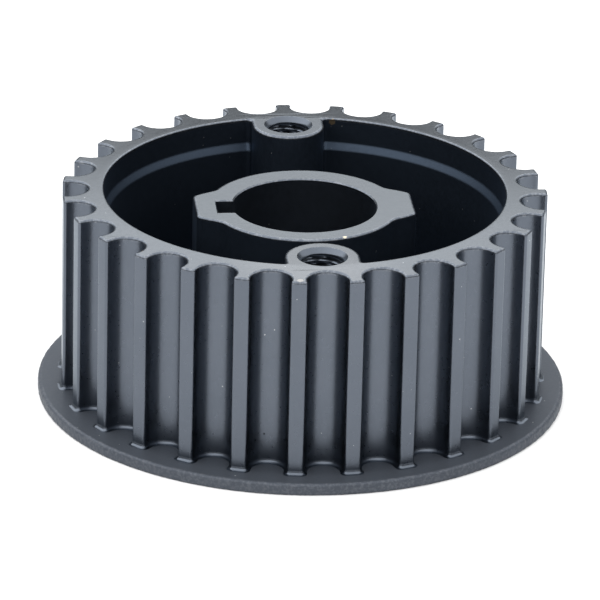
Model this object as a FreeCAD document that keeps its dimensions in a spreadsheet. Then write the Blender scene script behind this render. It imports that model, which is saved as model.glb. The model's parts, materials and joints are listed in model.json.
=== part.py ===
"""Timing belt pulley: a toothed body with a keyed hub, and a guide flange on a spigot at its lower end.

Millimetres.  +Z runs along the bore, from the flange's underside (Z = 0) to the open mouth.
The keyway opens towards -X, and the two threaded bosses stand on +Y and -Y.
"""
import FreeCAD, Part
import math
import os
import Sketcher

DIMENSIONS = {
    # belt teeth
    "teeth": 27,                        # round grooves, one belt tooth each
    "tip_radius": 40.5,
    "root_radius": 36.05,
    "groove_radius": 3.35,              # bottom arc of a groove, and half its width
    "tip_chamfer": 0.3,
    "total_height": 36.0,
    # guide flange, which sits on the spigot below the teeth
    "flange_radius": 44.3,
    "flange_thickness": 2.0,
    "flange_top_round": 0.6,
    "flange_under_round": 0.35,
    "spigot_radius": 34.0,
    "seam_chamfer": 0.3,
    # inside of the rim
    "mouth_radius": 33.5,
    "wall_radius": 32.75,
    "ledge_top_drop": 4.2,
    "ledge_foot_drop": 5.6,
    "floor_height": 9.0,
    "recess_height": 2.0,               # ring-shaped relief under the web
    "recess_inner_radius": 19.5,
    "recess_outer_radius": 31.0,
    # hub
    "bore_radius": 12.0,
    "bore_chamfer": 0.2,
    "hub_drop": 3.0,                    # from the mouth down to the hub's face
    "hub_core_radius": 15.0,            # the turned part of the hub, inside its cast outline
    "hub_radius": 15.95,
    "hub_shift": 0.4,                   # of the cast outline off the bore, towards +Y
    "hub_start": 13.2,                  # inside the hub wall, clear of the bore
    "lobe_face": 18.3,                  # flat outer faces on +X and -X
    "lobe_half_width": 4.65,
    "lobe_root_half_width": 6.9,
    "lobe_corner_round": 0.8,
    "key_half_width": 2.75,
    "key_floor_radius": 14.65,
    "key_mouth": 10.0,                  # inside the bore
    # puller bosses
    "boss_circle_radius": 30.0,
    "boss_radius": 6.1,
    "boss_end": 34.5,                   # inside the rim wall
    "thread_diameter": 6.647,           # crest of an M8 coarse thread
    "thread_depth": 24.0,
    "countersink_diameter": 8.3,
}

CUTTER_CLEARANCE = 2.0                  # how far a cutter runs past the metal that it removes
FULL_TURN = 360.0

document = FreeCAD.newDocument("timing_belt_pulley")


def make_sheet(values):
    """The driving dimensions, one named cell each."""
    sheet = document.addObject("Spreadsheet::Sheet", "dims")
    for row, (alias, value) in enumerate(values.items(), start=1):
        sheet.set(f"A{row}", alias)
        sheet.set(f"B{row}", str(value))
        sheet.setAlias(f"B{row}", alias)
    document.recompute()
    return sheet


def bind(item, **expressions):
    """Tie an object's properties to the sheet."""
    for name, expression in expressions.items():
        item.setExpression(name, expression)


def new_body(label):
    body = document.addObject("PartDesign::Body", label)
    body.Label = label
    body.Placement = FreeCAD.Placement()
    return body


def new_sketch(body, name, role, height=None):
    """A sketch on one of the body's own origin planes, lifted along its normal by an expression."""
    plane = next(item for item in body.Origin.OriginFeatures if item.Role == role)
    sketch = body.newObject("Sketcher::SketchObject", name)
    sketch.AttachmentSupport = [(plane, "")]
    sketch.MapMode = "FlatFace"
    if height is not None:
        sketch.setExpression("AttachmentOffset.Base.z", height)
    return sketch


def value_of(expression):
    return float(sheet.evalExpression(expression))


def place_point(sketch, geometry, end, x, y):
    """Hold one point of a sketch at (x, y), both given as expressions, or None to leave one free."""
    for kind, expression, axis in (("DistanceX", x, -2), ("DistanceY", y, -1)):
        if expression is None:
            continue
        if expression == "0":
            sketch.addConstraint(Sketcher.Constraint("PointOnObject", geometry, end, axis))
            continue
        constraint = Sketcher.Constraint(kind, -1, 1, geometry, end, value_of(expression))
        index = sketch.addConstraint(constraint)
        sketch.setExpression(f"Constraints[{index}]", expression)


def vector_of(point):
    return FreeCAD.Vector(value_of(point[0]), value_of(point[1]), 0)


def add_lines(sketch, corners):
    """A closed outline of straight lines through the corners."""
    places = [vector_of(corner) for corner in corners]
    first = sketch.GeometryCount
    count = len(corners)
    for number in range(count):
        sketch.addGeometry(Part.LineSegment(places[number], places[(number + 1) % count]))
    for number, corner in enumerate(corners):
        following = first + (number + 1) % count
        sketch.addConstraint(Sketcher.Constraint("Coincident", first + number, 2, following, 1))
        place_point(sketch, first + number, 1, *corner)


def add_open_lines(sketch, corners):
    """An open chain of lines.  The last corner is held in Y only: an arc's radius sets its X."""
    places = [vector_of(corner) for corner in corners]
    first = sketch.GeometryCount
    for number in range(len(corners) - 1):
        sketch.addGeometry(Part.LineSegment(places[number], places[number + 1]))
        if number:
            sketch.addConstraint(Sketcher.Constraint("Coincident", first + number - 1, 2, first + number, 1))
    for number in range(len(corners) - 1):
        place_point(sketch, first + number, 1, *corners[number])
    last = first + len(corners) - 2
    place_point(sketch, last, 2, None, corners[-1][1])
    return first, last


def close_with_arc(sketch, chain, centre, radius, start_angle, end_angle):
    """Close an open chain with an arc about a held centre, from the chain's end to its start."""
    first, last = chain
    circle = Part.Circle(vector_of(centre), FreeCAD.Vector(0, 0, 1), radius)
    arc = sketch.addGeometry(Part.ArcOfCircle(circle, start_angle, end_angle))
    place_point(sketch, arc, 3, *centre)
    sketch.addConstraint(Sketcher.Constraint("Coincident", last, 2, arc, 1))
    sketch.addConstraint(Sketcher.Constraint("Coincident", first, 1, arc, 2))


def revolve(body, name, sketch):
    feature = body.newObject("PartDesign::Revolution", name)
    feature.Profile = sketch
    feature.ReferenceAxis = (sketch, ["V_Axis"])
    feature.Angle = FULL_TURN
    return feature


def pad(body, name, sketch, length):
    feature = body.newObject("PartDesign::Pad", name)
    feature.Profile = sketch
    bind(feature, Length=length)
    return feature


def pocket_upwards(body, name, sketch, length):
    """A pocket that cuts from its sketch towards +Z; the volume shows that it did."""
    document.recompute()
    before = body.Shape.Volume
    feature = body.newObject("PartDesign::Pocket", name)
    feature.Profile = sketch
    feature.Reversed = True
    bind(feature, Length=length)
    document.recompute()
    removed = before - body.Shape.Volume
    if removed <= 0:
        raise RuntimeError(f"{name} removed no metal")
    return feature


def edges_where(shape, test):
    return [f"Edge{number}" for number, edge in enumerate(shape.Edges, start=1) if test(edge)]


def is_circle_at(edge, radius, height):
    """True for a full circle about Z of this radius, at this height."""
    box = edge.BoundBox
    flat = box.ZLength < 1e-4 and abs(box.ZMin - height) < 1e-4
    return flat and abs(box.XMax - radius) < 1e-3 and abs(box.XMin + radius) < 1e-3


def is_upright_at(edge, x, y, low):
    """True for a straight upright edge at (x, y) or (-x, y) that starts above low."""
    box = edge.BoundBox
    upright = box.XLength < 1e-4 and box.YLength < 1e-4 and box.ZMin > low - 1e-4
    return upright and abs(abs(box.XMin) - x) < 1e-3 and abs(box.YMin - y) < 1e-3


def round_edges(body, name, base, edges, radius):
    if not edges:
        raise RuntimeError(f"{name} found no edges")
    feature = body.newObject("PartDesign::Fillet", name)
    feature.Base = (base, edges)
    bind(feature, Radius=radius)
    return feature


def blank_section(body):
    """Half section of the turned blank: bore, web, rim and spigot in one outline."""
    sketch = new_sketch(body, "blank_section", "XZ_Plane")
    top = "dims.total_height"
    hub_face = f"{top} - dims.hub_drop"
    add_lines(sketch, [
        ("dims.bore_radius + dims.bore_chamfer", "0"),
        ("dims.recess_inner_radius", "0"),
        ("dims.recess_inner_radius", "dims.recess_height"),
        ("dims.recess_outer_radius", "dims.recess_height"),
        ("dims.recess_outer_radius", "0"),
        ("dims.spigot_radius - dims.seam_chamfer", "0"),
        ("dims.spigot_radius", "dims.seam_chamfer"),
        ("dims.spigot_radius", "dims.flange_thickness"),
        ("dims.tip_radius", "dims.flange_thickness"),
        ("dims.tip_radius", f"{top} - dims.tip_chamfer"),
        ("dims.tip_radius - dims.tip_chamfer", top),
        ("dims.mouth_radius", top),
        ("dims.mouth_radius", f"{top} - dims.ledge_top_drop"),
        ("dims.wall_radius", f"{top} - dims.ledge_foot_drop"),
        ("dims.wall_radius", "dims.floor_height"),
        ("dims.hub_core_radius", "dims.floor_height"),
        ("dims.hub_core_radius", hub_face),
        ("dims.bore_radius + dims.bore_chamfer", hub_face),
        ("dims.bore_radius", f"{hub_face} - dims.bore_chamfer"),
        ("dims.bore_radius", "dims.bore_chamfer"),
    ])
    return sketch


def add_circle(sketch, centre, radius):
    """A circle about a held centre."""
    size = value_of(radius)
    circle = sketch.addGeometry(Part.Circle(vector_of(centre), FreeCAD.Vector(0, 0, 1), size))
    place_point(sketch, circle, 3, *centre)
    index = sketch.addConstraint(Sketcher.Constraint("Radius", circle, size))
    sketch.setExpression(f"Constraints[{index}]", radius)


def hub_ring_outline(body):
    """The hub's cast round outline, a little off the bore's axis."""
    sketch = new_sketch(body, "hub_ring_outline", "XY_Plane", "dims.floor_height")
    add_circle(sketch, ("0", "dims.hub_shift"), "dims.hub_radius")
    add_circle(sketch, ("0", "0"), "dims.hub_start")
    return sketch


def lobe_outline(body, name, side):
    """One hub lobe, on the +X or -X side: flared flanks and a flat outer face."""
    sketch = new_sketch(body, name, "XY_Plane", "dims.floor_height")
    sign = "-" if side < 0 else ""
    face_x = f"{sign}dims.lobe_face"
    root_x = f"{sign}sqrt(dims.hub_radius ^ 2 - dims.lobe_root_half_width ^ 2)"
    start_x = f"{sign}dims.hub_start"
    add_lines(sketch, [
        (face_x, "dims.hub_shift + dims.lobe_half_width"),
        (root_x, "dims.hub_shift + dims.lobe_root_half_width"),
        (start_x, "dims.hub_shift + dims.lobe_root_half_width"),
        (start_x, "dims.hub_shift - dims.lobe_root_half_width"),
        (root_x, "dims.hub_shift - dims.lobe_root_half_width"),
        (face_x, "dims.hub_shift - dims.lobe_half_width"),
    ])
    return sketch


def boss_outline(body, name, side):
    """One puller boss, on the +Y or -Y side: parallel sides into the rim and a half-round nose."""
    sketch = new_sketch(body, name, "XY_Plane", "dims.floor_height")
    sign = "-" if side < 0 else ""
    other = "" if side < 0 else "-"
    centre_y = f"{sign}dims.boss_circle_radius"
    chain = add_open_lines(sketch, [
        (f"{sign}dims.boss_radius", centre_y),
        (f"{sign}dims.boss_radius", f"{sign}dims.boss_end"),
        (f"{other}dims.boss_radius", f"{sign}dims.boss_end"),
        (f"{other}dims.boss_radius", centre_y),
    ])
    start = math.pi if side > 0 else 0.0
    close_with_arc(sketch, chain, ("0", centre_y), value_of("dims.boss_radius"), start, start + math.pi)
    return sketch


def groove_outline(body):
    """One belt groove, on the -Y side: a round bottom and parallel flanks out past the tips."""
    sketch = new_sketch(body, "groove_outline", "XY_Plane", "dims.flange_thickness")
    centre_y = "-dims.root_radius - dims.groove_radius"
    outside_y = f"-dims.tip_radius - {CUTTER_CLEARANCE}"
    chain = add_open_lines(sketch, [
        ("-dims.groove_radius", centre_y),
        ("-dims.groove_radius", outside_y),
        ("dims.groove_radius", outside_y),
        ("dims.groove_radius", centre_y),
    ])
    close_with_arc(sketch, chain, ("0", centre_y), value_of("dims.groove_radius"), 0.0, math.pi)
    return sketch


def cut_grooves(body):
    """The groove, repeated round the pulley."""
    groove = pocket_upwards(body, "groove", groove_outline(body), "dims.total_height")
    single = body.Shape.Volume
    ring = body.newObject("PartDesign::PolarPattern", "groove_ring")
    ring.Originals = [groove]
    axis = next(item for item in body.Origin.OriginFeatures if item.Role == "Z_Axis")
    ring.Axis = (axis, [""])
    ring.Angle = FULL_TURN
    bind(ring, Occurrences="dims.teeth")
    body.Tip = ring
    document.recompute()
    if body.Shape.Volume >= single:
        raise RuntimeError("the groove pattern removed no metal")


def cut_keyway(body):
    """A square keyway in the -X side of the bore, open at both ends."""
    sketch = new_sketch(body, "keyway_outline", "XY_Plane")
    add_lines(sketch, [
        ("-dims.key_floor_radius", "-dims.key_half_width"),
        ("-dims.key_mouth", "-dims.key_half_width"),
        ("-dims.key_mouth", "dims.key_half_width"),
        ("-dims.key_floor_radius", "dims.key_half_width"),
    ])
    pocket_upwards(body, "keyway", sketch, "dims.total_height")


def drill_bosses(body):
    """The two countersunk puller holes, at the diameter of their thread's crest."""
    sketch = new_sketch(body, "puller_holes", "XY_Plane", "dims.total_height")
    for sign in ("", "-"):
        add_circle(sketch, ("0", f"{sign}dims.boss_circle_radius"), "dims.thread_diameter / 2")
    document.recompute()
    before = body.Shape.Volume
    hole = body.newObject("PartDesign::Hole", "puller_thread_holes")
    hole.Profile = sketch
    hole.Threaded = False
    hole.ThreadType = "None"
    hole.DepthType = "Dimension"
    hole.DrillPoint = "Angled"
    hole.HoleCutType = "Countersink"
    hole.HoleCutCountersinkAngle = 90
    bind(hole, Diameter="dims.thread_diameter", Depth="dims.thread_depth",
         HoleCutDiameter="dims.countersink_diameter")
    document.recompute()
    if body.Shape.Volume >= before:
        raise RuntimeError("the puller holes removed no metal")


def make_hub(body):
    """The hub's cast outline and its two lobes, over the turned core."""
    height = "dims.total_height - dims.hub_drop - dims.floor_height"
    pad(body, "hub_ring", hub_ring_outline(body), height)
    for side, word in ((1, "plain"), (-1, "keyed")):
        outline = lobe_outline(body, f"{word}_lobe_outline", side)
        lobe = pad(body, f"{word}_lobe", outline, height)
    document.recompute()
    face = value_of("dims.lobe_face")
    sides = [value_of(f"dims.hub_shift {sign} dims.lobe_half_width") for sign in ("+", "-")]
    floor = value_of("dims.floor_height")
    corners = edges_where(lobe.Shape, lambda edge: any(is_upright_at(edge, face, y, floor) for y in sides))
    round_edges(body, "lobe_corners", lobe, corners, "dims.lobe_corner_round")


def make_toothed_body():
    body = new_body("toothed_body")
    revolve(body, "blank", blank_section(body))
    make_hub(body)
    for side, word in ((1, "rear"), (-1, "front")):
        outline = boss_outline(body, f"{word}_boss_outline", side)
        pad(body, f"{word}_boss", outline, "dims.total_height - dims.floor_height")
    cut_grooves(body)
    cut_keyway(body)
    drill_bosses(body)
    return body


def make_guide_flange():
    """A flat ring with rounded outer edges, and a seam chamfer at the foot of its bore."""
    body = new_body("guide_flange")
    sketch = new_sketch(body, "flange_section", "XZ_Plane")
    add_lines(sketch, [
        ("dims.spigot_radius + dims.seam_chamfer", "0"),
        ("dims.flange_radius", "0"),
        ("dims.flange_radius", "dims.flange_thickness"),
        ("dims.spigot_radius", "dims.flange_thickness"),
        ("dims.spigot_radius", "dims.seam_chamfer"),
    ])
    ring = revolve(body, "ring", sketch)
    for name, height, radius in (("top_round", "dims.flange_thickness", "dims.flange_top_round"),
                                 ("under_round", "0", "dims.flange_under_round")):
        document.recompute()
        outer, level = value_of("dims.flange_radius"), value_of(height)
        rims = edges_where(ring.Shape, lambda edge: is_circle_at(edge, outer, level))
        ring = round_edges(body, name, ring, rims, radius)
    return body


def check_document():
    """Stop on any feature that failed, which a recompute alone doesn't report."""
    document.recompute()
    for item in document.Objects:
        if {"Invalid", "Error"} & set(item.State):
            raise RuntimeError(f"{item.Label} failed: {item.State}")


def export(bodies):
    os.makedirs("parts", exist_ok=True)
    for body in bodies:
        shape = body.Shape
        if shape.isNull() or not shape.isValid() or len(shape.Solids) != 1:
            raise RuntimeError(f"{body.Label} isn't one valid solid")
        shape.exportStep(f"parts/{body.Label}.step")
        box = shape.BoundBox
        print(f"{body.Label}: volume {shape.Volume:.1f} mm3, faces {len(shape.Faces)},"
              f" size {box.XLength:.2f} x {box.YLength:.2f} x {box.ZLength:.2f}")


sheet = make_sheet(DIMENSIONS)
bodies = [make_toothed_body(), make_guide_flange()]
check_document()
export(bodies)
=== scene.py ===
import json
import math

import bmesh
import bpy
from mathutils import Matrix, Vector, noise
from mathutils.geometry import tessellate_polygon

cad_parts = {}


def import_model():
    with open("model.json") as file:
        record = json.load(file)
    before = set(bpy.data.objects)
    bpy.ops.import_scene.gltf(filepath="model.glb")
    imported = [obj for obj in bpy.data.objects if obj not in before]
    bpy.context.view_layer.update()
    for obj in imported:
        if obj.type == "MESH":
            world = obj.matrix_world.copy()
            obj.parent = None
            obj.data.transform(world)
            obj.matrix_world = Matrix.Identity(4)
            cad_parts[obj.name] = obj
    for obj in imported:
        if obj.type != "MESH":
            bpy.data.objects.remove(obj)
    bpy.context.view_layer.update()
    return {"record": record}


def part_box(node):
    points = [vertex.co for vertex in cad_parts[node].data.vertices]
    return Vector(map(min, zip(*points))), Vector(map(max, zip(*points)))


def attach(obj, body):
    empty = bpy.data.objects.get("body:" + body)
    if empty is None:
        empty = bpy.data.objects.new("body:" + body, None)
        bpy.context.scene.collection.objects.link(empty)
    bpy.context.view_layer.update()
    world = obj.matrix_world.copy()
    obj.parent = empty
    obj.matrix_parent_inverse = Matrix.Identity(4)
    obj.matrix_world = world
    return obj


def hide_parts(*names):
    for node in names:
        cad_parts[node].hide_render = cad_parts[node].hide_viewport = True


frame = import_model()

# The geometry is worked out in millimetres and turned into metres in make_piece().
# +Z runs along the bore to the open mouth, Z 0 is the flange's underside, the keyway
# is on -X, the bosses are on +Y and -Y.
MM = 0.001


def mount_sizes(name):
    """The stated sizes of one of the record's mounts."""
    return next(m["dims"] for m in frame["record"]["mounts"] if m["name"] == name)


# ---------------------------------------------------------------- driving sizes
BODY_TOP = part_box("toothed_body")[1].z / MM
FLANGE_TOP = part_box("guide_flange")[1].z / MM
FLANGE_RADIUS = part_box("guide_flange")[1].x / MM
BORE_RADIUS = mount_sizes("shaft_bore")["r_mm"]
BOSS_CIRCLE = mount_sizes("puller_threads")["pcd_mm"] / 2
THREAD_CREST = mount_sizes("puller_threads")["hole_r_mm"]

TEETH = 27
PITCH_ANGLE = 2 * math.pi / TEETH
TIP_RADIUS = 40.5
ROOT_RADIUS = 36.05
GROOVE_RADIUS = 3.35
GROOVE_CENTRE = ROOT_RADIUS + GROOVE_RADIUS
TIP_ROUND = 0.4
TOP_ROUND = 0.4
FOOT_ROUND = 0.65

SPIGOT_RADIUS = 34.0
SEAM_CHAMFER = 0.3
MOUTH_RADIUS = 33.5
WALL_RADIUS = 32.75
LEDGE_TOP = BODY_TOP - 4.2
LEDGE_FOOT = BODY_TOP - 5.6
LEDGE_SHAPE = (         # shares of the way down and inwards: a slope with softened ends
    (0.0, 0.0),
    (0.1, 0.05),
    (0.22, 0.18),
    (0.5, 0.5),
    (0.78, 0.82),
    (0.9, 0.95),
    (1.0, 1.0),
)
WELL_FLOOR = 9.0
FLOOR_ROUND = 1.1
MOUTH_ROUND = 0.25
CROWN_START = 34.9
CROWN = math.tan(math.radians(2.0))   # slope of the rim's top, outwards from the mouth

RECESS_HEIGHT = 2.0
RECESS_INNER = 19.5
RECESS_OUTER = 31.0

HUB_TOP = BODY_TOP - 3.0
HUB_RADIUS = 15.95
HUB_SHIFT = 0.4         # of the hub's cast outline off the bore, towards +Y
HUB_ROUND = 0.4
LOBE_FACE = 18.3
LOBE_HALF_WIDTH = 4.65
LOBE_ROOT_HALF = math.asin(6.9 / HUB_RADIUS)
LOBE_CORNER_BLEND = math.radians(0.55)
LOBE_ROOT_BLEND = math.radians(2.2)
BORE_CHAMFER = 0.2
BORE_CAST_AND_SHADE = 0.5         # share of the as-cast look in the bore, which is also painted darker as painted shade
KEY_HALF_WIDTH = 2.75
KEY_FLOOR = 14.65

BOSS_RADIUS = 6.1
BOSS_ROUND = 0.45
BOSS_FILLET = 0.8       # between a boss and the well's wall
LEAST_FILLET = 0.08     # where the floor's round has used the fillet up
SINK_RADIUS = 4.15
THREAD_PITCH = 1.25
THREAD_ROOT = 4.0
THREAD_START = 0.5
THREAD_LENGTH = 20.0
HOLE_DEPTH = 24.0
HOLE_TIP = 2.0

FLANGE_TOP_ROUND = 0.6
FLANGE_UNDER_ROUND = 0.35

GUARD = 0.12            # a narrow strip beside each round keeps the flats flat when shaded
SHARP_ANGLE = math.radians(34)

# ---------------------------------------------------------------- mesh resolution
GROOVE_STEPS = 14
CORNER_STEPS = 5
ROUND_STEPS = 4
WALL_ROWS = 16
CIRCLE_STEPS = 216
NOSE_STEPS = 28
FILLET_STEPS = 6
THREAD_STEPS = 48
ROWS_PER_TURN = 10
FLANGE_STEPS = 1500


class Shell:
    """Loops of points in millimetres, joined by faces into one closed mesh."""

    def __init__(self):
        self.points = []
        self.faces = []
        self.wear = []
        self.cast = []

    def loop(self, points, wear=0.0, cast=0.0):
        """Adds a closed loop of points. Wear says how much of an edge it is, and the last value
        how much of the surface is as cast, which also paints it darker as painted shade; both 0 to 1."""
        first = len(self.points)
        self.points += [Vector(p) for p in points]
        self.wear += [wear] * len(points)
        self.cast += [cast] * len(points)
        return list(range(first, len(self.points)))

    def bridge(self, a, b):
        """Quads between two loops with the same number of points."""
        for i in range(len(a)):
            j = (i + 1) % len(a)
            self.faces.append((a[i], a[j], b[j], b[i]))

    def stack(self, loops):
        """Joins each loop to the next one."""
        for a, b in zip(loops, loops[1:]):
            self.bridge(a, b)

    def fill(self, *loops):
        """A flat face whose border is the first loop, with the others as holes."""
        order = [i for loop in loops for i in loop]
        outlines = [[self.points[i] for i in loop] for loop in loops]
        for triangle in tessellate_polygon(outlines):
            self.faces.append(tuple(order[i] for i in triangle))

    def close_tip(self, loop, tip):
        """Joins a loop to one point."""
        apex = self.loop([tip])[0]
        for i in range(len(loop)):
            self.faces.append((loop[i], loop[(i + 1) % len(loop)], apex))


def make_piece(name, shell, material, stands_for):
    """A shaded mesh object in metres that rides on the CAD body in place of a CAD node."""
    mesh = bpy.data.meshes.new(name)
    mesh.from_pydata([p * MM for p in shell.points], [], shell.faces)
    mesh.attributes.new("wear", "FLOAT", "POINT").data.foreach_set("value", shell.wear)
    mesh.attributes.new("cast", "FLOAT", "POINT").data.foreach_set("value", shell.cast)
    bm = bmesh.new()
    bm.from_mesh(mesh)
    bmesh.ops.recalc_face_normals(bm, faces=bm.faces)
    bm.to_mesh(mesh)
    bm.free()
    mesh.polygons.foreach_set("use_smooth", [True] * len(mesh.polygons))
    mesh.set_sharp_from_angle(angle=SHARP_ANGLE)
    mesh.materials.append(material)
    piece = bpy.data.objects.new(name, mesh)
    bpy.context.scene.collection.objects.link(piece)
    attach(piece, "root")
    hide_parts(stands_for)
    return piece


def polar(radius, angle, z):
    return radius * math.cos(angle), radius * math.sin(angle), z


def circle(radius, z, steps=CIRCLE_STEPS):
    """A circle of points about the bore's axis."""
    return [polar(radius, 2 * math.pi * i / steps, z) for i in range(steps)]


def quarter():
    """(sine, cosine) pairs along a quarter turn."""
    angles = [math.pi / 2 * i / ROUND_STEPS for i in range(ROUND_STEPS + 1)]
    return [(math.sin(a), math.cos(a)) for a in angles]


def crown_drop(radius):
    """How far the rim's top lies below its mouth edge."""
    return CROWN * max(0.0, radius - MOUTH_RADIUS)


# ---------------------------------------------------------------- outlines
def half_groove(inset):
    """From a groove's centre line to the next land's: (outwards, sideways) points."""
    arc = GROOVE_RADIUS + inset
    tip = TIP_RADIUS - inset
    corner = max(TIP_ROUND - inset, 0.02)
    corner_u = math.sqrt((tip - corner) ** 2 - (arc + corner) ** 2)
    lean = math.atan2(arc + corner, corner_u)
    points = []
    for i in range(GROOVE_STEPS + 1):
        s = math.pi / 2 * i / GROOVE_STEPS
        points.append((GROOVE_CENTRE - arc * math.cos(s), arc * math.sin(s)))
    points.append((corner_u - GUARD / 2, arc))
    for i in range(CORNER_STEPS + 1):
        s = (math.pi / 2 + lean) * i / CORNER_STEPS
        points.append((corner_u + corner * math.sin(s), arc + corner - corner * math.cos(s)))
    for share in (0.06, 0.3, 0.65, 1.0):
        s = lean + share * (PITCH_ANGLE / 2 - lean)
        points.append((tip * math.cos(s), tip * math.sin(s)))
    return points


def tooth_outline(inset, z):
    """The whole toothed outline, inset inside its nominal surface, or outside it if negative."""
    right = half_groove(inset)
    left = [(u, -v) for u, v in reversed(right[1:-1])]
    points = []
    for k in range(TEETH):
        axis = math.pi / 2 + (k + 0.5) * PITCH_ANGLE
        c = math.cos(axis)
        s = math.sin(axis)
        points += [(u * c - v * s, u * s + v * c, z) for u, v in left + right]
    return points


def well_outline(radius, nose, height_at, fillet=BOSS_FILLET):
    """The well's wall: a circle with a boss's nose standing into it on +Y and on -Y.
    height_at gives the height for a share of 0 on the circle to 1 on the nose."""
    fillet_x = nose + fillet
    fillet_y = math.sqrt((radius - fillet) ** 2 - fillet_x ** 2)
    meet = math.atan2(fillet_y, fillet_x)
    half = []
    for i in range(CIRCLE_STEPS // 2):
        angle = -meet + 2 * meet * i / (CIRCLE_STEPS // 2)
        half.append((*polar(radius, angle, 0)[:2], 0.0))
    for i in range(FILLET_STEPS + 1):
        share = i / FILLET_STEPS
        angle = meet + (math.pi - meet) * share
        half.append((fillet_x + fillet * math.cos(angle), fillet_y + fillet * math.sin(angle), share))
    for i in range(NOSE_STEPS + 1):
        angle = -math.pi * i / NOSE_STEPS
        half.append((nose * math.cos(angle), BOSS_CIRCLE + nose * math.sin(angle), 1.0))
    for i in range(FILLET_STEPS):
        share = 1 - i / FILLET_STEPS
        angle = meet + (math.pi - meet) * share
        half.append((-fillet_x - fillet * math.cos(angle), fillet_y + fillet * math.sin(angle), share))
    points = [(x, y, height_at(share)) for x, y, share in half]
    return points + [(-x, -y, z) for x, y, z in points]


def lobe_reach(angle):
    """The hub's radius at an angle before its corners are blended: round, with a flat lobe
    face on +X and on -X."""
    away = abs((angle + math.pi / 2) % math.pi - math.pi / 2)
    corner = math.atan2(LOBE_HALF_WIDTH, LOBE_FACE)
    if away < corner:
        return LOBE_FACE / math.cos(away)
    share = max(0.0, (LOBE_ROOT_HALF - away) / (LOBE_ROOT_HALF - corner))
    return HUB_RADIUS + (math.hypot(LOBE_FACE, LOBE_HALF_WIDTH) - HUB_RADIUS) * share


def hub_radius_at(angle):
    """The hub's blended radius at an angle about its own centre.
    A weighted mean over nearby angles blends the corners tightly and the roots softly."""
    out = (lobe_reach(angle) - HUB_RADIUS) / (LOBE_FACE - HUB_RADIUS)
    blend = LOBE_ROOT_BLEND + (LOBE_CORNER_BLEND - LOBE_ROOT_BLEND) * min(1.0, out)
    offsets = [k / 4 for k in range(-12, 13)]
    weights = [math.exp(-k * k / 2) for k in offsets]
    reach = [lobe_reach(angle + k * blend) for k in offsets]
    return sum(w * r for w, r in zip(weights, reach)) / sum(weights)


HUB_ANGLES = [2 * math.pi * i / CIRCLE_STEPS for i in range(CIRCLE_STEPS)]
HUB_RADII = [hub_radius_at(a) for a in HUB_ANGLES]


def hub_outline(grow, z):
    points = [polar(r + grow, a, z) for r, a in zip(HUB_RADII, HUB_ANGLES)]
    return [(x, y + HUB_SHIFT, z) for x, y, z in points]


def bore_outline(grow, z):
    """The bore with its keyway, grown into the metal."""
    radius = BORE_RADIUS + grow
    side = KEY_HALF_WIDTH + grow
    floor = -KEY_FLOOR - grow
    opening = math.asin(side / radius)
    span = 2 * (math.pi - opening)
    points = []
    for i in range(CIRCLE_STEPS + 1):
        points.append(polar(radius, -math.pi + opening + span * i / CIRCLE_STEPS, z))
    mouth = points[-1][0]
    points += [(mouth + (floor - mouth) * k / 3, side, z) for k in (1, 2, 3)]
    points += [(floor, side * (1 - k / 2), z) for k in (1, 2, 3)]
    points.append((floor, -side, z))
    points += [(floor + (mouth - floor) * k / 3, -side, z) for k in (1, 2)]
    return points


def crowned(points):
    """The same points lowered by the crown."""
    return [(x, y, z - crown_drop(math.hypot(x, y))) for x, y, z in points]


# ---------------------------------------------------------------- toothed body
def belt_side(shell):
    """The toothed outside, from the guard strip on the rim down to the flange."""
    loops = [shell.loop(crowned(tooth_outline(TOP_ROUND + GUARD, BODY_TOP)), 0.0)]
    for sine, cosine in quarter():
        inset = TOP_ROUND * (1 - sine)
        z = BODY_TOP - TOP_ROUND * (1 - cosine)
        loops.append(shell.loop(crowned(tooth_outline(inset, z)), 1.0))
    high = BODY_TOP - TOP_ROUND - crown_drop(TIP_RADIUS) - GUARD
    low = FLANGE_TOP + FOOT_ROUND + GUARD
    for i in range(WALL_ROWS + 1):
        z = high + (low - high) * i / WALL_ROWS
        loops.append(shell.loop(tooth_outline(0.0, z)))
    for sine, cosine in quarter():
        inset = -FOOT_ROUND * (1 - cosine)
        z = FLANGE_TOP + FOOT_ROUND * (1 - sine)
        loops.append(shell.loop(tooth_outline(inset, z)))
    shell.stack(loops)
    return loops[0], loops[-1]


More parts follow.
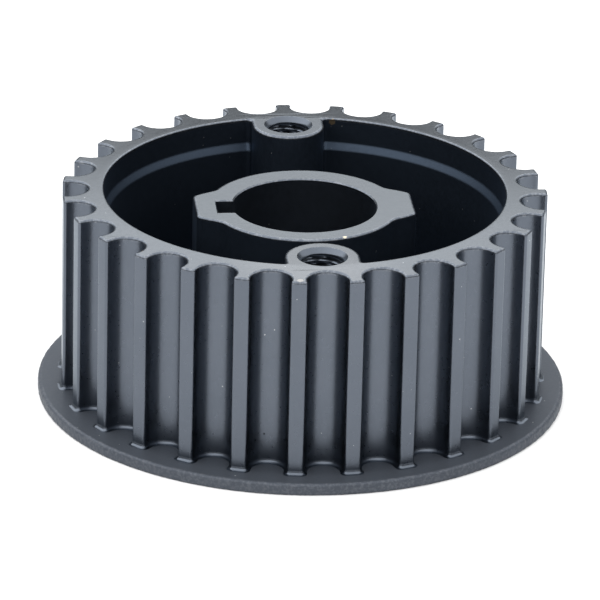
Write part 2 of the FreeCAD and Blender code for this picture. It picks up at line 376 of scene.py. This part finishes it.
def well_side(shell):
    """The well's wall from the rim's guard strip down to the floor's."""
    loops = []

    def add(radius, nose, height_at, wear=0.0, fillet=BOSS_FILLET, cast=1.0):
        loops.append(shell.loop(well_outline(radius, nose, height_at, fillet), wear, cast))

    add(MOUTH_RADIUS + MOUTH_ROUND + GUARD, BOSS_RADIUS - BOSS_ROUND - GUARD, lambda share: BODY_TOP,
        cast=0.0)
    for sine, cosine in quarter():
        drop = 1 - cosine
        add(
            MOUTH_RADIUS + MOUTH_ROUND * (1 - sine),
            BOSS_RADIUS - BOSS_ROUND * (1 - sine),
            lambda share: BODY_TOP - drop * (MOUTH_ROUND + (BOSS_ROUND - MOUTH_ROUND) * share),
            1.0,
            cast=0.0,
        )
    add(MOUTH_RADIUS, BOSS_RADIUS, lambda share: BODY_TOP - GUARD - BOSS_ROUND)
    add(MOUTH_RADIUS, BOSS_RADIUS, lambda share: LEDGE_TOP + GUARD)
    for down, inwards in LEDGE_SHAPE:
        z = LEDGE_TOP + (LEDGE_FOOT - LEDGE_TOP) * down
        add(MOUTH_RADIUS + (WALL_RADIUS - MOUTH_RADIUS) * inwards, BOSS_RADIUS, lambda _: z)
    for z in (LEDGE_FOOT - GUARD, (LEDGE_FOOT + WELL_FLOOR) / 2, WELL_FLOOR + FLOOR_ROUND + GUARD):
        add(WALL_RADIUS, BOSS_RADIUS, lambda _: z)
    for sine, cosine in quarter():
        step = FLOOR_ROUND * (1 - cosine)
        z = WELL_FLOOR + FLOOR_ROUND * (1 - sine)
        add(WALL_RADIUS - step, BOSS_RADIUS + step, lambda _: z, fillet=max(BOSS_FILLET - step, LEAST_FILLET))
    step = FLOOR_ROUND + GUARD
    add(WALL_RADIUS - step, BOSS_RADIUS + step, lambda _: WELL_FLOOR, fillet=LEAST_FILLET)
    shell.stack(loops)
    return loops[0], loops[-1]


def hub_side(shell):
    """The hub's wall from the floor's guard strip up to the one on its top."""
    loops = [shell.loop(hub_outline(FLOOR_ROUND + GUARD, WELL_FLOOR), cast=1.0)]
    for sine, cosine in quarter():
        grow = FLOOR_ROUND * (1 - sine)
        loops.append(shell.loop(hub_outline(grow, WELL_FLOOR + FLOOR_ROUND * (1 - cosine)), cast=1.0))
    for z in (WELL_FLOOR + FLOOR_ROUND + GUARD, HUB_TOP - HUB_ROUND - GUARD):
        loops.append(shell.loop(hub_outline(0.0, z), cast=1.0))
    for sine, cosine in quarter():
        grow = -HUB_ROUND * (1 - cosine)
        loops.append(shell.loop(hub_outline(grow, HUB_TOP - HUB_ROUND * (1 - sine)), 1.0))
    loops.append(shell.loop(hub_outline(-HUB_ROUND - GUARD, HUB_TOP)))
    shell.stack(loops)
    return loops[0], loops[-1]


def bore_side(shell):
    """The bore and keyway with a chamfer at each end, between two guard strips."""
    levels = [
        (BORE_CHAMFER + GUARD, HUB_TOP, 0.0, 0.0),
        (BORE_CHAMFER, HUB_TOP, 1.0, 0.0),
        (0.0, HUB_TOP - BORE_CHAMFER, 1.0, 0.0),
        (0.0, HUB_TOP - BORE_CHAMFER - GUARD, 0.0, BORE_CAST_AND_SHADE),
        (0.0, BORE_CHAMFER + GUARD, 0.0, BORE_CAST_AND_SHADE),
        (0.0, BORE_CHAMFER, 1.0, 0.0),
        (BORE_CHAMFER, 0.0, 1.0, 0.0),
        (BORE_CHAMFER + GUARD, 0.0, 0.0, 0.0),
    ]
    loops = [shell.loop(bore_outline(grow, z), wear, cast) for grow, z, wear, cast in levels]
    shell.stack(loops)
    return loops[0], loops[-1]


def thread_radius(angle, depth):
    """The threaded hole's radius: flat crests and roots joined by straight flanks."""
    phase = (depth / THREAD_PITCH + angle / (2 * math.pi)) % 1.0
    climb = (abs(phase - 0.5) - 1 / 16) / (0.5 - 1 / 8 - 1 / 16)
    tooth = min(1.0, max(0.0, climb))
    start = min(1.0, max(0.0, (depth - THREAD_START) / THREAD_PITCH))
    fade = min(start, 1.0, max(0.0, (THREAD_LENGTH - depth) / THREAD_PITCH))
    threaded = THREAD_ROOT - (THREAD_ROOT - THREAD_CREST) * (1 - (1 - tooth) * fade)
    return max(threaded, SINK_RADIUS - depth)


def puller_hole(shell, side):
    """A countersunk threaded blind hole in the boss on the +Y or -Y side."""
    centre_y = side * BOSS_CIRCLE

    def ring(radius_at, z):
        points = []
        for i in range(THREAD_STEPS):
            angle = 2 * math.pi * i / THREAD_STEPS
            x, y, _ = polar(radius_at(angle), angle, z)
            points.append((x, centre_y + y, z))
        return points

    loops = [shell.loop(ring(lambda _: SINK_RADIUS + GUARD, BODY_TOP))]
    rows = int(HOLE_DEPTH / THREAD_PITCH * ROWS_PER_TURN)
    for row in range(rows + 1):
        depth = HOLE_DEPTH * row / rows
        wear = 1.0 if row == 0 else 0.0
        loops.append(shell.loop(ring(lambda a: thread_radius(a, depth), BODY_TOP - depth), wear))
    shell.stack(loops)
    shell.close_tip(loops[-1], (0, centre_y, BODY_TOP - HOLE_DEPTH - HOLE_TIP))
    return loops[0]


def underside(shell, outline_foot, bore_foot):
    """The hub's foot, the round recess, the spigot and the ring that rests on the flange."""
    levels = [
        (RECESS_INNER, 0.0),
        (RECESS_INNER, RECESS_HEIGHT),
        (RECESS_OUTER, RECESS_HEIGHT),
        (RECESS_OUTER, 0.0),
        (SPIGOT_RADIUS - SEAM_CHAMFER, 0.0),
        (SPIGOT_RADIUS, SEAM_CHAMFER),
        (SPIGOT_RADIUS, FLANGE_TOP),
    ]
    loops = [shell.loop(circle(radius, z), 0.5) for radius, z in levels]
    shell.stack(loops)
    shell.fill(loops[0], bore_foot)
    shell.fill(outline_foot, loops[-1])


def toothed_body(material):
    shell = Shell()
    rim_outer, foot = belt_side(shell)
    crown = shell.loop(circle(CROWN_START, BODY_TOP - crown_drop(CROWN_START)))
    rim_inner, floor_outer = well_side(shell)
    floor_inner, hub_top_outer = hub_side(shell)
    hub_top_inner, bore_foot = bore_side(shell)
    holes = [puller_hole(shell, side) for side in (1, -1)]
    shell.fill(rim_outer, crown)
    shell.fill(crown, rim_inner, *holes)
    shell.fill(floor_outer, floor_inner)
    shell.fill(hub_top_outer, hub_top_inner)
    underside(shell, foot, bore_foot)
    return make_piece("pulley_toothed_body", shell, material, "toothed_body")


# ---------------------------------------------------------------- guide flange
def flange_profile():
    """(radius, height, edge share) from the bore's foot out and over to the bore's top."""
    seam = SPIGOT_RADIUS + SEAM_CHAMFER
    profile = [(seam, 0.0, 0.5)]
    flat = FLANGE_RADIUS - FLANGE_UNDER_ROUND
    profile += [(seam + (flat - SPIGOT_RADIUS) * k / 8, 0.0, 0.0) for k in range(1, 8)]
    profile.append((flat - GUARD, 0.0, 0.0))
    for sine, cosine in quarter():
        profile.append((flat + FLANGE_UNDER_ROUND * sine, FLANGE_UNDER_ROUND * (1 - cosine), 1.0))
    flat_top = FLANGE_TOP - FLANGE_TOP_ROUND
    for k in (1, 2, 3):
        profile.append((FLANGE_RADIUS, FLANGE_UNDER_ROUND + (flat_top - FLANGE_UNDER_ROUND) * k / 4, 1.0))
    shoulder = FLANGE_RADIUS - FLANGE_TOP_ROUND
    for sine, cosine in quarter():
        profile.append((shoulder + FLANGE_TOP_ROUND * cosine, flat_top + FLANGE_TOP_ROUND * sine, 1.0))
    profile.append((shoulder - GUARD, FLANGE_TOP, 0.0))
    profile += [(shoulder - (shoulder - SPIGOT_RADIUS) * k / 12, FLANGE_TOP, 0.0) for k in range(1, 12)]
    profile.append((SPIGOT_RADIUS, FLANGE_TOP, 0.0))
    profile.append((SPIGOT_RADIUS, SEAM_CHAMFER, 0.5))
    return profile


def edge_grain(x, y, z):
    """How far the flange's rough outer edge lies inside its nominal surface, never outside."""
    place = Vector((x, y, z))
    coarse = noise.noise(place * 0.9)
    fine = noise.noise(place * 2.6)
    return max(0.0, 0.045 + 0.05 * coarse + 0.06 * fine)


def guide_flange(material):
    shell = Shell()
    loops = []
    for radius, z, edge in flange_profile():
        points = []
        for i in range(FLANGE_STEPS):
            angle = 2 * math.pi * i / FLANGE_STEPS
            x, y, _ = polar(radius, angle, z)
            dent = edge_grain(x, y, z) if edge == 1.0 else 0.0
            points.append(polar(radius - dent, angle, z))
        loops.append(shell.loop(points, edge))
    shell.stack(loops + [loops[0]])
    return make_piece("pulley_guide_flange", shell, material, "guide_flange")


# ---------------------------------------------------------------- materials
class Nodes:
    """Short calls for building one material's node tree."""

    def __init__(self, name):
        self.material = bpy.data.materials.new(name)
        self.material.use_nodes = True
        self.tree = self.material.node_tree
        self.shader = self.tree.nodes["Principled BSDF"]
        self.place = self.new("ShaderNodeTexCoord").outputs["Object"]

    def new(self, kind):
        return self.tree.nodes.new(kind)

    def link(self, value, socket):
        if isinstance(value, bpy.types.NodeSocket):
            self.tree.links.new(value, socket)
        else:
            socket.default_value = value

    def noise(self, scale, detail, roughness=0.5):
        """Noise with features of about 1 / scale metres."""
        mapping = self.new("ShaderNodeMapping")
        mapping.inputs["Scale"].default_value = [scale] * 3
        self.link(self.place, mapping.inputs["Vector"])
        texture = self.new("ShaderNodeTexNoise")
        texture.inputs["Scale"].default_value = 1.0
        texture.inputs["Detail"].default_value = detail
        texture.inputs["Roughness"].default_value = roughness
        self.link(mapping.outputs["Vector"], texture.inputs["Vector"])
        return texture.outputs["Fac"]

    def specks(self, spacing, size, share):
        """Small round dots: one in each of a share of the cells of a loose grid, in metres."""
        mapping = self.new("ShaderNodeMapping")
        mapping.inputs["Scale"].default_value = [1 / spacing] * 3
        self.link(self.place, mapping.inputs["Vector"])
        cells = self.new("ShaderNodeTexVoronoi")
        cells.inputs["Scale"].default_value = 1.0
        self.link(mapping.outputs["Vector"], cells.inputs["Vector"])
        split = self.new("ShaderNodeSeparateColor")
        self.link(cells.outputs["Color"], split.inputs["Color"])
        radius = self.ramp(split.outputs["Red"], 1 - share, 1.0, 0.0, size / spacing)
        return self.math("LESS_THAN", cells.outputs["Distance"], radius)

    def ramp(self, value, low, high, out_low=0.0, out_high=1.0):
        """A linear step: low to high becomes out_low to out_high, held at the ends."""
        node = self.new("ShaderNodeMapRange")
        self.link(value, node.inputs["Value"])
        node.inputs["From Min"].default_value = low
        node.inputs["From Max"].default_value = high
        node.inputs["To Min"].default_value = out_low
        node.inputs["To Max"].default_value = out_high
        return node.outputs["Result"]

    def math(self, operation, a, b):
        node = self.new("ShaderNodeMath")
        node.operation = operation
        self.link(a, node.inputs[0])
        self.link(b, node.inputs[1])
        return node.outputs["Value"]

    def mix(self, share, a, b):
        """Blends two colours."""
        node = self.new("ShaderNodeMix")
        node.data_type = "RGBA"
        self.link(share, node.inputs["Factor"])
        self.link(a, node.inputs["A"])
        self.link(b, node.inputs["B"])
        return node.outputs["Result"]

    def attribute(self, name):
        node = self.new("ShaderNodeAttribute")
        node.attribute_name = name
        return node.outputs["Fac"]

    def near(self, centre, inner, outer):
        """1 within the inner distance of a point, falling to 0 at the outer one, in metres."""
        away = self.new("ShaderNodeVectorMath")
        away.operation = "DISTANCE"
        self.link(self.place, away.inputs[0])
        away.inputs[1].default_value = centre
        return self.ramp(away.outputs["Value"], inner, outer, 1.0, 0.0)

    def level_share(self):
        """1 on faces square to the bore, 0 on upright ones."""
        split = self.new("ShaderNodeSeparateXYZ")
        self.link(self.new("ShaderNodeTexCoord").outputs["Normal"], split.inputs["Vector"])
        return self.math("ABSOLUTE", split.outputs["Z"], 0.0)

    def bump(self, height, distance, under=None):
        node = self.new("ShaderNodeBump")
        node.inputs["Distance"].default_value = distance
        self.link(height, node.inputs["Height"])
        if under is not None:
            self.link(under, node.inputs["Normal"])
        return node.outputs["Normal"]


BRASS_DUST = (0.26, 0.20, 0.13, 1)
PALE_DUST = (0.60, 0.54, 0.42, 1)
BARE_METAL = (0.30, 0.29, 0.28, 1)
PIT = (0.02, 0.022, 0.025, 1)
MARKS = (               # place and radius in metres, and colour
    ((-0.0291, -0.0259, 0.0358), 0.0005, BRASS_DUST),
    ((0.0078, 0.0326, 0.0354), 0.0008, BRASS_DUST),
    ((0.0053, -0.0143, 0.0330), 0.0005, PALE_DUST),
    ((-0.0045, -0.0395, 0.0358), 0.0008, BARE_METAL),
    ((-0.00937, -0.03481, 0.00706), 0.0004, PIT),
)
EDGE_TINT = (0.93, 0.97, 1.0, 1)        # of reflections at a grazing angle
CAST_TINT = (0.70, 0.82, 1.0, 1)
CAST_ROUGHNESS = 0.50
# the as-cast colour, darkened as painted shade in the well's hollows
CAST_AND_PAINTED_SHADE_COLOUR = (0.045, 0.060, 0.084, 1)
PAINTED_HIGHLIGHT_PLACE = (-0.002, -0.032, 0.036)     # a painted highlight on the rim's faced top, by the front boss
PAINTED_HIGHLIGHT_COLOUR = (0.185, 0.190, 0.200, 1)
PAINTED_HIGHLIGHT_INNER, PAINTED_HIGHLIGHT_OUTER = 0.006, 0.015   # the painted highlight fades out between these radii
HUB_PAINTED_SHEEN = (0.158, 0.170, 0.184, 1)   # a painted sheen on the hub's faced top, lighter than the other faced tops
HUB_SHEEN_INNER, HUB_SHEEN_OUTER = 0.0190, 0.0195   # just outside the lobes' corners
DUST_COLOUR = (0.5, 0.51, 0.52, 1)
WORN_COLOUR = (0.4, 0.41, 0.43, 1)


def steel(name, light, dark, faced, roughness, faced_roughness, metal, grain_depth,
          edge_wear):
    """Oxidised steel: mottled, finely grained, with dust specks and worn edges.
    Faces square to the bore are machined: a little smoother and greyer.
    The colour also holds painted light: a painted sheen on the hub's top, a painted highlight
    on the rim's top by the front boss, and painted shade on the as-cast faces in the well."""
    n = Nodes(name)
    mottle = n.noise(120, 4.0, 0.6)
    grain = n.noise(1700, 2.0, 0.6)
    specks = n.specks(0.0016, 0.00013, 0.5)
    worn = n.math("MULTIPLY", n.attribute("wear"), n.ramp(n.noise(2200, 2.0), 0.45, 0.65))
    level = n.ramp(n.level_share(), 0.985, 0.995)
    colour = n.mix(n.ramp(mottle, 0.3, 0.7), dark, light)
    # Painted sheen: a lighter colour on the hub's faced top.
    faced_and_painted_light = n.mix(n.near((0, 0, HUB_TOP * MM), HUB_SHEEN_INNER, HUB_SHEEN_OUTER), faced, HUB_PAINTED_SHEEN)
    # Painted highlight: a lighter colour on the rim's faced top by the front boss.
    faced_and_painted_light = n.mix(n.near(PAINTED_HIGHLIGHT_PLACE, PAINTED_HIGHLIGHT_INNER, PAINTED_HIGHLIGHT_OUTER), faced_and_painted_light, PAINTED_HIGHLIGHT_COLOUR)
    colour = n.mix(n.math("MULTIPLY", level, 0.8), colour, faced_and_painted_light)
    # Painted shade: the as-cast faces in the well and bore get a darker colour, over their real rougher
    # as-cast finish.
    colour = n.mix(n.attribute("cast"), colour, CAST_AND_PAINTED_SHADE_COLOUR)
    colour = n.mix(n.math("MULTIPLY", specks, 0.6), colour, DUST_COLOUR)
    colour = n.mix(n.math("MULTIPLY", worn, edge_wear), colour, WORN_COLOUR)
    ragged = n.noise(3000, 2.0)
    for place, size, mark_colour in MARKS:
        share = n.ramp(n.math("MULTIPLY", n.near(place, size * 0.3, size), ragged), 0.2, 0.3)
        colour = n.mix(share, colour, mark_colour)
    n.link(colour, n.shader.inputs["Base Color"])
    rough = n.ramp(grain, 0.3, 0.7, roughness - 0.03, roughness + 0.03)
    smoother = n.math("MULTIPLY", level, faced_roughness - roughness)
    rougher = n.math("MULTIPLY", n.attribute("cast"), CAST_ROUGHNESS - roughness)
    n.link(n.math("ADD", n.math("ADD", rough, smoother), rougher), n.shader.inputs["Roughness"])
    n.link(n.mix(n.attribute("cast"), EDGE_TINT, CAST_TINT), n.shader.inputs["Specular Tint"])
    n.shader.inputs["Metallic"].default_value = metal
    n.shader.inputs["Specular IOR Level"].default_value = 0.1
    coarse = n.bump(n.noise(450, 3.0), 0.000005)
    n.link(n.bump(grain, grain_depth, coarse), n.shader.inputs["Normal"])
    return n.material


def oxide_steel():
    return steel("oxide_steel", (0.112, 0.127, 0.152, 1), (0.104, 0.119, 0.143, 1),
                 (0.133, 0.142, 0.155, 1), 0.30, 0.20, 1.0, 0.000004, 0.25)


def flange_steel():
    return steel("flange_steel", (0.076, 0.086, 0.104, 1), (0.070, 0.079, 0.096, 1),
                 (0.073, 0.083, 0.100, 1), 0.45, 0.45, 0.35, 0.000015, 0.10)


# ---------------------------------------------------------------- studio
FLOOR_SIZE = 3.0                    # radius and distances here are in metres
FLOOR_STEPS = 96
CAMERA_LENS = 338.9                 # lens and sensor in millimetres
CAMERA_SENSOR = 36.0
CAMERA_AZIMUTH = math.radians(-5.91)
CAMERA_ELEVATION = math.radians(22.56)
CAMERA_ROLL = math.radians(1.33)
CAMERA_DISTANCE = 0.9477
LOOK_HEIGHT = 0.01589
LOOK_SIDE = -0.00039


def camera():
    """A long lens at the viewing angle, turned slightly about its own axis."""
    data = bpy.data.cameras.new("camera")
    data.sensor_width = CAMERA_SENSOR
    data.lens = CAMERA_LENS
    data.clip_start = 0.01
    data.clip_end = 10.0
    azimuth, elevation = CAMERA_AZIMUTH, CAMERA_ELEVATION
    right = Vector((math.cos(azimuth), math.sin(azimuth), 0))
    back = Vector((math.sin(azimuth) * math.cos(elevation), -math.cos(azimuth) * math.cos(elevation),
                   math.sin(elevation)))
    up = back.cross(right)
    turned = right * math.cos(CAMERA_ROLL) + up * math.sin(CAMERA_ROLL)
    upright = up * math.cos(CAMERA_ROLL) - right * math.sin(CAMERA_ROLL)
    look = right * LOOK_SIDE + Vector((0, 0, LOOK_HEIGHT))
    place = Matrix((turned, upright, back)).transposed().to_4x4()
    place.translation = look + back * CAMERA_DISTANCE
    item = bpy.data.objects.new("camera", data)
    item.matrix_world = place
    bpy.context.scene.collection.objects.link(item)
    bpy.context.scene.camera = item


def floor():
    """A plain pale sweep under the part."""
    mesh = bpy.data.meshes.new("floor")
    shell = Shell()
    ring = shell.loop(circle(FLOOR_SIZE, 0.0, FLOOR_STEPS))
    shell.close_tip(ring, (0, 0, 0))
    mesh.from_pydata(shell.points, [], shell.faces)
    n = Nodes("pale_floor")
    n.link(n.mix(n.ramp(n.noise(6, 2.0), 0.3, 0.7), (0.90, 0.90, 0.90, 1), (0.93, 0.93, 0.93, 1)),
           n.shader.inputs["Base Color"])
    n.shader.inputs["Roughness"].default_value = 0.9
    n.shader.inputs["Specular IOR Level"].default_value = 0.0
    mesh.materials.append(n.material)
    item = bpy.data.objects.new("floor", mesh)
    bpy.context.scene.collection.objects.link(item)


SKY_LIGHT = 2.05
SKYLINE_LIGHT = 0.12
SKYLINE_LOW = 0.295         # sine of the elevation where the dim skyline ends
SKYLINE_HIGH = 0.40         # and where the full light begins
LEFT_LIGHT = 0.25           # how much brighter the light is from the left than from above
REAR_LIGHT = 0.15           # and from behind


def world():
    """A wide soft white light from above, over a dim skyline."""
    made = bpy.data.worlds.new("studio")
    made.use_nodes = True
    tree = made.node_tree
    place = tree.nodes.new("ShaderNodeTexCoord").outputs["Generated"]
    split = tree.nodes.new("ShaderNodeSeparateXYZ")
    tree.links.new(place, split.inputs["Vector"])
    ramp = tree.nodes.new("ShaderNodeMapRange")
    ramp.interpolation_type = "SMOOTHSTEP"
    ramp.inputs["From Min"].default_value = SKYLINE_LOW
    ramp.inputs["From Max"].default_value = SKYLINE_HIGH
    ramp.inputs["To Min"].default_value = SKYLINE_LIGHT
    ramp.inputs["To Max"].default_value = SKY_LIGHT
    tree.links.new(split.outputs["Z"], ramp.inputs["Value"])
    lean = tree.nodes.new("ShaderNodeVectorMath")
    lean.operation = "DOT_PRODUCT"
    tree.links.new(place, lean.inputs[0])
    lean.inputs[1].default_value = (-LEFT_LIGHT, REAR_LIGHT, 0)
    share = tree.nodes.new("ShaderNodeMath")
    share.operation = "ADD"
    tree.links.new(lean.outputs["Value"], share.inputs[0])
    share.inputs[1].default_value = 1.0
    both = tree.nodes.new("ShaderNodeMath")
    both.operation = "MULTIPLY"
    tree.links.new(ramp.outputs["Result"], both.inputs[0])
    tree.links.new(share.outputs["Value"], both.inputs[1])
    background = tree.nodes["Background"]
    background.inputs["Color"].default_value = (1, 1, 1, 1)
    tree.links.new(both.outputs["Value"], background.inputs["Strength"])
    bpy.context.scene.world = made


camera()
floor()
world()
toothed_body(oxide_steel())
guide_flange(flange_steel())
bpy.context.scene.view_settings.view_transform = "Standard"
